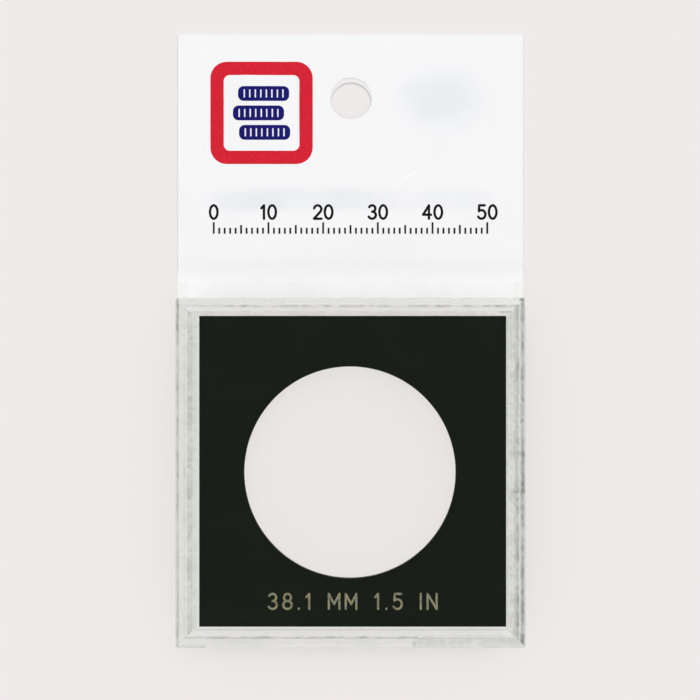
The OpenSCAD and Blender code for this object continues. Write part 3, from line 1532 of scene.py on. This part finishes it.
@dataclass(frozen=True)
class Pictogram:
    """Three stacked rounds in a frame, seen from the side. Its sizes are shares of the frame's width.

    Attributes:
        corner: Radius of the frame's outer corners.
        window: Width of the frame's opening.
        window_corner: Radius of the opening's corners.
        shifts: How far each round lies to the right, from the lowest up.
        rise: Distance from one round to the next.
        width: Width of a round.
        height: Height of a round.
        round_corner: Radius of a round's corners.
        reeds: Number of reeds on the edge of a round.
        reed_step: Distance from one reed to the next.
        reed_half: Half the height of a reed.
    """

    corner: float = 0.16
    window: float = 0.74
    window_corner: float = 0.06
    shifts: Triple = (0.03, -0.03, 0.02)
    rise: float = 0.19
    width: float = 0.50
    height: float = 0.145
    round_corner: float = 0.055
    reeds: int = 8
    reed_step: float = 0.054
    reed_half: float = 0.034


@dataclass
class HeaderPrint:
    """The print on one side of the header: a millimetre scale and a plain pictogram of stacked rounds.

    Attributes:
        side: The side that it is on.
        relief: The film's puckers.
        face: Height of that side of the header over the film's lower face.
        scale_y: Foot of the scale, along Y.
        mark_x: Middle of the pictogram, along X, seen from its own side.
        mark_y: The same, along Y.
        mark_size: Width of the pictogram.
        mark: Its drawing.
        ink: Half the thickness of the ink.
        grid: Distance between the points of a patch of ink.
        length: Length of the scale, in millimetres.
        step: Distance between its numbers, in millimetres.
        line: Width of a tick.
        short: Length of a tick.
        middle: Length of each fifth tick.
        long: Length of each tenth tick.
        digit: Height of the numbers.
        digit_gap: Room between two digits.
        digit_rise: Foot of the numbers, above the foot of the scale.
        digit_stroke: Half the width of a digit's stroke.
        reed_stroke: Half the width of a reed.
        pieces: The pieces built.
    """

    side: Side
    relief: FilmRelief
    face: float
    scale_y: float
    mark_x: float
    mark_y: float
    mark_size: float = 18.7 * MM
    mark: Pictogram = Pictogram()
    ink: float = 0.02 * MM
    grid: float = 0.6 * MM
    length: int = 50
    step: int = 10
    line: float = 0.34 * MM
    short: float = 1.1 * MM
    middle: float = 1.6 * MM
    long: float = 2.1 * MM
    digit: float = 2.45 * MM
    digit_gap: float = 0.62 * MM
    digit_rise: float = 2.75 * MM
    digit_stroke: float = 0.23 * MM
    reed_stroke: float = 0.15 * MM
    pieces: list[bpy.types.Object] = field(default_factory=list)

    def build(self, ticks: TickTree, strokes: StrokeTree, inks: Mapping[Ink, bpy.types.Material]) -> None:
        """Builds the scale and the pictogram.

        Args:
            ticks: Draws the ticks of the scale.
            strokes: Draws the numbers and the reeds.
            inks: The material of each ink.
        """
        tag = self.side.name.lower()
        self.scale(tag, ticks, strokes, inks[Ink.BLACK])
        self.pictogram(tag, strokes, inks)
        for piece in self.pieces:
            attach(piece, "header")

    def lay(self, piece: bpy.types.Object, dx: float, dy: float) -> None:
        """Moves a flat print to its place and presses it on to the film.

        Args:
            piece: The print, about z = 0.
            dx: How far it moves to the right, seen from its own side.
            dy: How far it moves along Y.
        """
        sign = self.side.value
        for vertex in piece.data.vertices:
            x, y = sign * (vertex.co.x + dx), vertex.co.y + dy
            vertex.co = (x, y, self.relief.height(x, y) + self.face + sign * vertex.co.z)
        piece.data.update()
        self.pieces.append(piece)

    def scale(self, tag: str, ticks: TickTree, strokes: StrokeTree, black: bpy.types.Material) -> None:
        """Builds the ticks and the numbers of the scale.

        Args:
            tag: End of the pieces' names.
            ticks: Draws the ticks.
            strokes: Draws the numbers.
            black: The ink.
        """
        row = ticks.draw(f"print_scale_{tag}", {
            "Count": self.length + 1,
            "Pitch": MM,
            "Line": self.line,
            "Short": self.short,
            "Middle": self.middle,
            "Long": self.long,
            "Thickness": 2 * self.ink,
            "Finish": black,
        })
        self.lay(row, -self.length / 2 * MM, self.scale_y)
        lines: list[Stroke] = []
        for place in range(0, self.length + 1, self.step):
            number, width = lettered(str(place), self.digit, self.digit_gap)
            x = (place - self.length / 2) * MM - width / 2
            lines += shifted(number, x, self.scale_y + self.digit_rise)
        numbers = strokes.draw(f"print_numbers_{tag}", lines, self.digit_stroke, self.ink, black)
        self.lay(numbers, 0.0, 0.0)

    def pictogram(self, tag: str, strokes: StrokeTree, inks: Mapping[Ink, bpy.types.Material]) -> None:
        """Builds the frame, the rounds and the reeds of the rounds.

        Args:
            tag: End of the pieces' names.
            strokes: Draws the reeds.
            inks: The material of each ink.
        """
        mark, size, thick = self.mark, self.mark_size, 2 * self.ink
        outer = soft_rectangle(size, size, mark.corner * size)
        inner = soft_rectangle(mark.window * size, mark.window * size, mark.window_corner * size)
        frame = inked(f"print_frame_{tag}", outer, inner, thick, self.grid, inks[Ink.RED])
        self.lay(frame, self.mark_x, self.mark_y)
        bar = soft_rectangle(mark.width * size, mark.height * size, mark.round_corner * size)
        half = mark.reed_half * size
        reeds: list[Stroke] = []
        for k, shift in enumerate(mark.shifts):
            disc = inked(f"print_round_{k + 1}_{tag}", bar, None, thick, self.grid, inks[Ink.BLUE])
            x, y = self.mark_x + shift * size, self.mark_y + (k - 1) * mark.rise * size
            self.lay(disc, x, y)
            places = [x + (i - (mark.reeds - 1) / 2) * mark.reed_step * size for i in range(mark.reeds)]
            reeds += [[(place, y - half), (place, y + half)] for place in places]
        lines = strokes.draw(f"print_reeds_{tag}", reeds, self.reed_stroke, thick, inks[Ink.WHITE])
        self.lay(lines, 0.0, 0.0)


@dataclass
class Header:
    """The two white plies, the clear tail that carries them, and their print.

    Attributes:
        crease: Where the header folds, along Y.
        hole: Middle of the hang hole.
        hole_radius: Radius of the hang hole.
        film: Thickness of each film.
        seal: How far the tail runs up behind the front ply, to where the back ply starts.
        taper: Height over which the front ply thins towards the crease.
        thin: Share of its thickness that is left at the crease.
        bend: Height over which the films would turn when the header folds; it has no effect on what is
            built.
        hole_slip: How far each ply's hole has slipped, up in front and down behind.
        hole_shift: How far both holes have slipped to the right.
        spacing: Distance between the points of a film.
        air: Air above and below the adhesive, so that no two clear faces lie in one plane.
        mark_x: Middle of each pictogram, along X, seen from its own side.
        mark_rise: Middle of the front pictogram, above the crease.
        scale_rise: Foot of the front scale, above the crease.
        back_lift: How much higher the back's pictogram stands. Its scale stands twice as much higher.
        ghost_size: Size of the show-through of the back's pictogram.
        line_rise: Middle of the show-through of the back's scale, above the crease.
        line_half: Half the length of that show-through.
        back_white: Colour of the back ply, darker than the front as painted shade for the front ply's
            shadow on it.
        back_milky: Colour of the back ply's cloudier patches, with the same painted shade.
        pieces: The pieces built.
    """

    crease: float
    hole: Point
    hole_radius: float
    film: float = 0.12 * MM
    seal: float = 1.0 * MM
    taper: float = 2.5 * MM
    thin: float = 0.06
    bend: float = 4.0 * MM
    hole_slip: float = 0.45 * MM
    hole_shift: float = 0.1 * MM
    spacing: float = 0.5 * MM
    air: float = 0.01 * MM
    mark_x: float = -16.26 * MM
    mark_rise: float = 28.8 * MM
    scale_rise: float = 6.7 * MM
    back_lift: float = 2.6 * MM
    ghost_size: float = 15.0 * MM
    line_rise: float = 12.9 * MM
    line_half: float = 25.5 * MM
    back_white: Colour = (0.80, 0.79, 0.785)
    back_milky: Colour = (0.785, 0.775, 0.77)
    pieces: list[bpy.types.Object] = field(default_factory=list)

    def build(self, ticks: TickTree, strokes: StrokeTree) -> None:
        """Builds the films, the adhesive and the print.

        Args:
            ticks: Draws the scale.
            strokes: Draws the numbers and the reeds.
        """
        _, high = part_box("header_front_film")
        relief = FilmRelief(self.crease, high[1], high[0])
        self.plies(relief)
        self.tail(relief)
        self.glue()
        self.prints(relief, ticks, strokes)

    def plies(self, relief: FilmRelief) -> None:
        """Builds the two white plies, whose holes have slipped apart a little.

        Args:
            relief: The film's puckers.
        """
        low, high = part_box("header_front_film")
        top = (high[0], high[1])
        x, y = self.hole[0] + self.hole_shift, self.hole[1]
        holes = {side: ((x, y + side.value * self.hole_slip), self.hole_radius) for side in Side}
        back = film_mesh(
            "header_back_sheet",
            (low[0], self.crease + self.seal),
            top,
            [holes[Side.BACK]],
            self.spacing,
            lambda px, py: self.even(relief, px, py),
        )
        front = film_mesh(
            "header_front_sheet",
            (low[0], self.crease),
            top,
            [holes[Side.FRONT]],
            self.spacing,
            lambda px, py: self.thinned(relief, px, py),
        )
        white = WhiteFilm(
            ghost_x=-self.mark_x,
            ghost_y=self.crease + self.mark_rise + self.back_lift,
            ghost_size=self.ghost_size,
            line_y=self.crease + self.line_rise,
            line_half=self.line_half,
            crease_y=self.crease,
        )
        # Painted shade: the back ply takes a darker copy of the white film, standing in for the front ply's
        # shadow on it
        painted_shade_copy = replace(white, white=self.back_white, milky=self.back_milky)
        shaded, lit = painted_shade_copy.make("white_film_back"), white.make("white_film")
        self.sheet("header_back_sheet", back, shaded, "header_back_film")
        self.sheet("header_front_sheet", front, lit, "header_front_film")

    def tail(self, relief: FilmRelief) -> None:
        """Builds the clear film that runs from the plies down behind the case.

        Args:
            relief: The film's puckers.
        """
        low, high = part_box("clear_tail")
        mesh = film_mesh(
            "clear_tail_sheet",
            (low[0], low[1]),
            (high[0], self.crease + self.seal),
            [],
            self.spacing,
            lambda x, y: self.even(relief, x, y),
        )
        clear = ClearFilm((high[0] - low[0]) / 2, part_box("base")[1][1], self.crease).make()
        self.sheet("clear_tail_sheet", mesh, clear, "clear_tail")

    def glue(self) -> None:
        """Builds the adhesive between the tail and the case."""
        low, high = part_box("adhesive_strip")
        faces = (low[2] + self.air, high[2] - self.air)
        mesh = film_mesh(
            "adhesive_layer", (low[0], low[1]), (high[0], high[1]), [], self.spacing, lambda x, y: faces
        )
        layer = new_piece("adhesive_layer", mesh, Adhesive().make())
        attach(layer, "base")
        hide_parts("adhesive_strip")
        self.pieces.append(layer)

    def prints(self, relief: FilmRelief, ticks: TickTree, strokes: StrokeTree) -> None:
        """Prints both sides of the header.

        Args:
            relief: The film's puckers.
            ticks: Draws the scales.
            strokes: Draws the numbers and the reeds.
        """
        inks = {ink: PrintInk(ink).make() for ink in Ink}
        for side, face, lift in ((Side.FRONT, 2 * self.film, 0.0), (Side.BACK, 0.0, self.back_lift)):
            scale_y = self.crease + self.scale_rise + 2.0 * lift
            mark_y = self.crease + self.mark_rise + lift
            printed = HeaderPrint(side, relief, face, scale_y, self.mark_x, mark_y)
            printed.build(ticks, strokes, inks)
            self.pieces += printed.pieces

    def even(self, relief: FilmRelief, x: float, y: float) -> Point:
        """Returns the heights of the two faces of a film with the same thickness everywhere."""
        under = relief.height(x, y)
        return under, under + self.film

    def thinned(self, relief: FilmRelief, x: float, y: float) -> Point:
        """Finds the heights of the front ply's two faces, as a heat seal thins it towards the crease.

        Args:
            relief: The film's puckers.
            x: The place, along X.
            y: The place, along Y.

        Returns:
            The heights of the lower and the upper face.
        """
        under = relief.height(x, y) + self.film
        share = self.thin + (1.0 - self.thin) * smooth((y - self.crease) / self.taper)
        return under, under + self.film * share

    def sheet(
        self, name: str, mesh: bpy.types.Mesh, finish: bpy.types.Material, node: str
    ) -> None:
        """Adds one film.

        Args:
            name: The piece's name.
            mesh: Its mesh.
            finish: Its material.
            node: The CAD node that it stands for.
        """
        piece = new_piece(name, mesh, finish)
        self.crease + self.bend
        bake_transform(piece)
        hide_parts(node)
        self.pieces.append(piece)


@dataclass
class Studio:
    """A pale floor, soft light and a camera straight above.

    Attributes:
        centre: The place that the camera looks at.
        field_width: Width of the view at that place.
        distance: From there up to the camera.
        sensor: Width of the camera's sensor, in millimetres.
        nearest: Nearest distance that the camera sees.
        farthest: Farthest distance that it sees.
        floor_half: Half the width of the floor.
        floor_drop: How far the floor lies under the part.
        backdrop: Colour of the backdrop, where no floor is seen.
        sky: Strength of the light all round.
        zenith: Strength of the light straight above.
        dark_from: Height of the direction where the light starts to fall off.
        dark_full: Height of the direction where it is darkest.
    """

    centre: Triple = (-0.09 * MM, -1.85 * MM, 5.0 * MM)
    field_width: float = 127.2 * MM
    distance: float = 0.75
    sensor: float = 36.0
    nearest: float = 0.01
    farthest: float = 20.0
    floor_half: float = 3.0
    floor_drop: float = 0.05 * MM
    backdrop: Colour = (0.83, 0.79, 0.79)
    sky: float = 0.57
    zenith: float = 0.05
    dark_from: float = 0.80
    dark_full: float = 0.96

    def build(self) -> None:
        """Builds the floor, the world, the lamps and the camera."""
        self.floor()
        self.world()
        for lamp in Light:
            self.lamp(lamp)
        self.camera()

    def floor(self) -> None:
        """Lays the floor under the object."""
        half, z = self.floor_half, -self.floor_drop
        corners = [(sx * half, sy * half, z) for sx, sy in ((-1, -1), (1, -1), (1, 1), (-1, 1))]
        mesh = bpy.data.meshes.new("floor")
        mesh.from_pydata(corners, [], [(0, 1, 2, 3)])
        new_piece("floor", mesh, FloorPaint().make())

    def world(self) -> None:
        """Makes a soft sky that is dark straight above, as a studio is round the camera."""
        world = bpy.data.worlds.new("studio")
        world.use_nodes = True
        bpy.context.scene.world = world
        tree = Tree(world.node_tree)
        direction = tree.wire("ShaderNodeTexCoord", output="Generated")
        up = Wire(tree, tree.node("ShaderNodeSeparateXYZ", None, {0: direction}).outputs["Z"])
        dark = up.fade(self.dark_from, self.dark_full)
        glow = self.zenith + (self.sky - self.zenith) * (1.0 - dark)
        path = tree.node("ShaderNodeLightPath")
        seen = Wire(tree, path.outputs["Is Camera Ray"])
        light = tree.wire("ShaderNodeBackground", None, {"Color": (1.0, 1.0, 1.0, 1.0), "Strength": glow})
        plain = tree.wire("ShaderNodeBackground", None, {"Color": (*self.backdrop, 1.0), "Strength": 1.0})
        both = tree.wire("ShaderNodeMixShader", None, {0: seen, 1: light, 2: plain})
        tree.node("ShaderNodeOutputWorld", None, {"Surface": both})

    def lamp(self, lamp: Light) -> None:
        """Adds one wide, soft lamp, which no gloss or clear part mirrors as a disc.

        Args:
            lamp: The lamp.
        """
        toward, strength, width = lamp.value
        data = bpy.data.lights.new(lamp.name.lower(), "SUN")
        data.energy = strength
        data.angle = math.radians(width)
        made = bpy.data.objects.new(lamp.name.lower(), data)
        made.rotation_euler = Vector(toward).to_track_quat("Z", "Y").to_euler()
        made.visible_glossy = made.visible_transmission = False
        bpy.context.collection.objects.link(made)

    def camera(self) -> None:
        """Hangs the camera straight above the object."""
        data = bpy.data.cameras.new("camera")
        data.sensor_width = self.sensor
        data.lens = self.sensor * self.distance / self.field_width
        data.clip_start, data.clip_end = self.nearest, self.farthest
        made = bpy.data.objects.new("camera", data)
        made.location = Vector(self.centre) + Vector((0.0, 0.0, self.distance))
        bpy.context.collection.objects.link(made)
        bpy.context.scene.camera = made


def main() -> None:
    """Builds the object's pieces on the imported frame, then the studio round it."""
    logging.basicConfig(level=logging.INFO, format="%(name)s: %(message)s")
    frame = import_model()
    bpy.context.scene.view_settings.view_transform = "Standard"
    paths = bpy.context.scene.cycles
    paths.transparent_max_bounces = CLEAR_LAYERS
    paths.max_bounces = paths.glossy_bounces = paths.transmission_bounces = BOUNCES
    hole = next(mount for mount in frame["record"]["mounts"] if mount["name"] == "hang_hole")
    fold = next(joint for joint in frame["joints"] if joint["name"] == "header_fold")
    hole_x, hole_y = hole["pos_m"][:2]
    ticks, strokes = TickTree(), StrokeTree()
    case, insert = Case(), Insert()
    header = Header(fold["pos_m"][1], (hole_x, hole_y), hole["dims"]["r_mm"] * MM)
    case.build(frame["nodes"])
    insert.build(frame["nodes"], strokes)
    header.build(ticks, strokes)
    for piece in case.pieces + insert.pieces + header.pieces:
        LOG.info("%s: %d faces", piece.name, len(piece.data.polygons))
    Studio().build()
    bpy.context.view_layer.update()


if __name__ == "__main__":
    main()
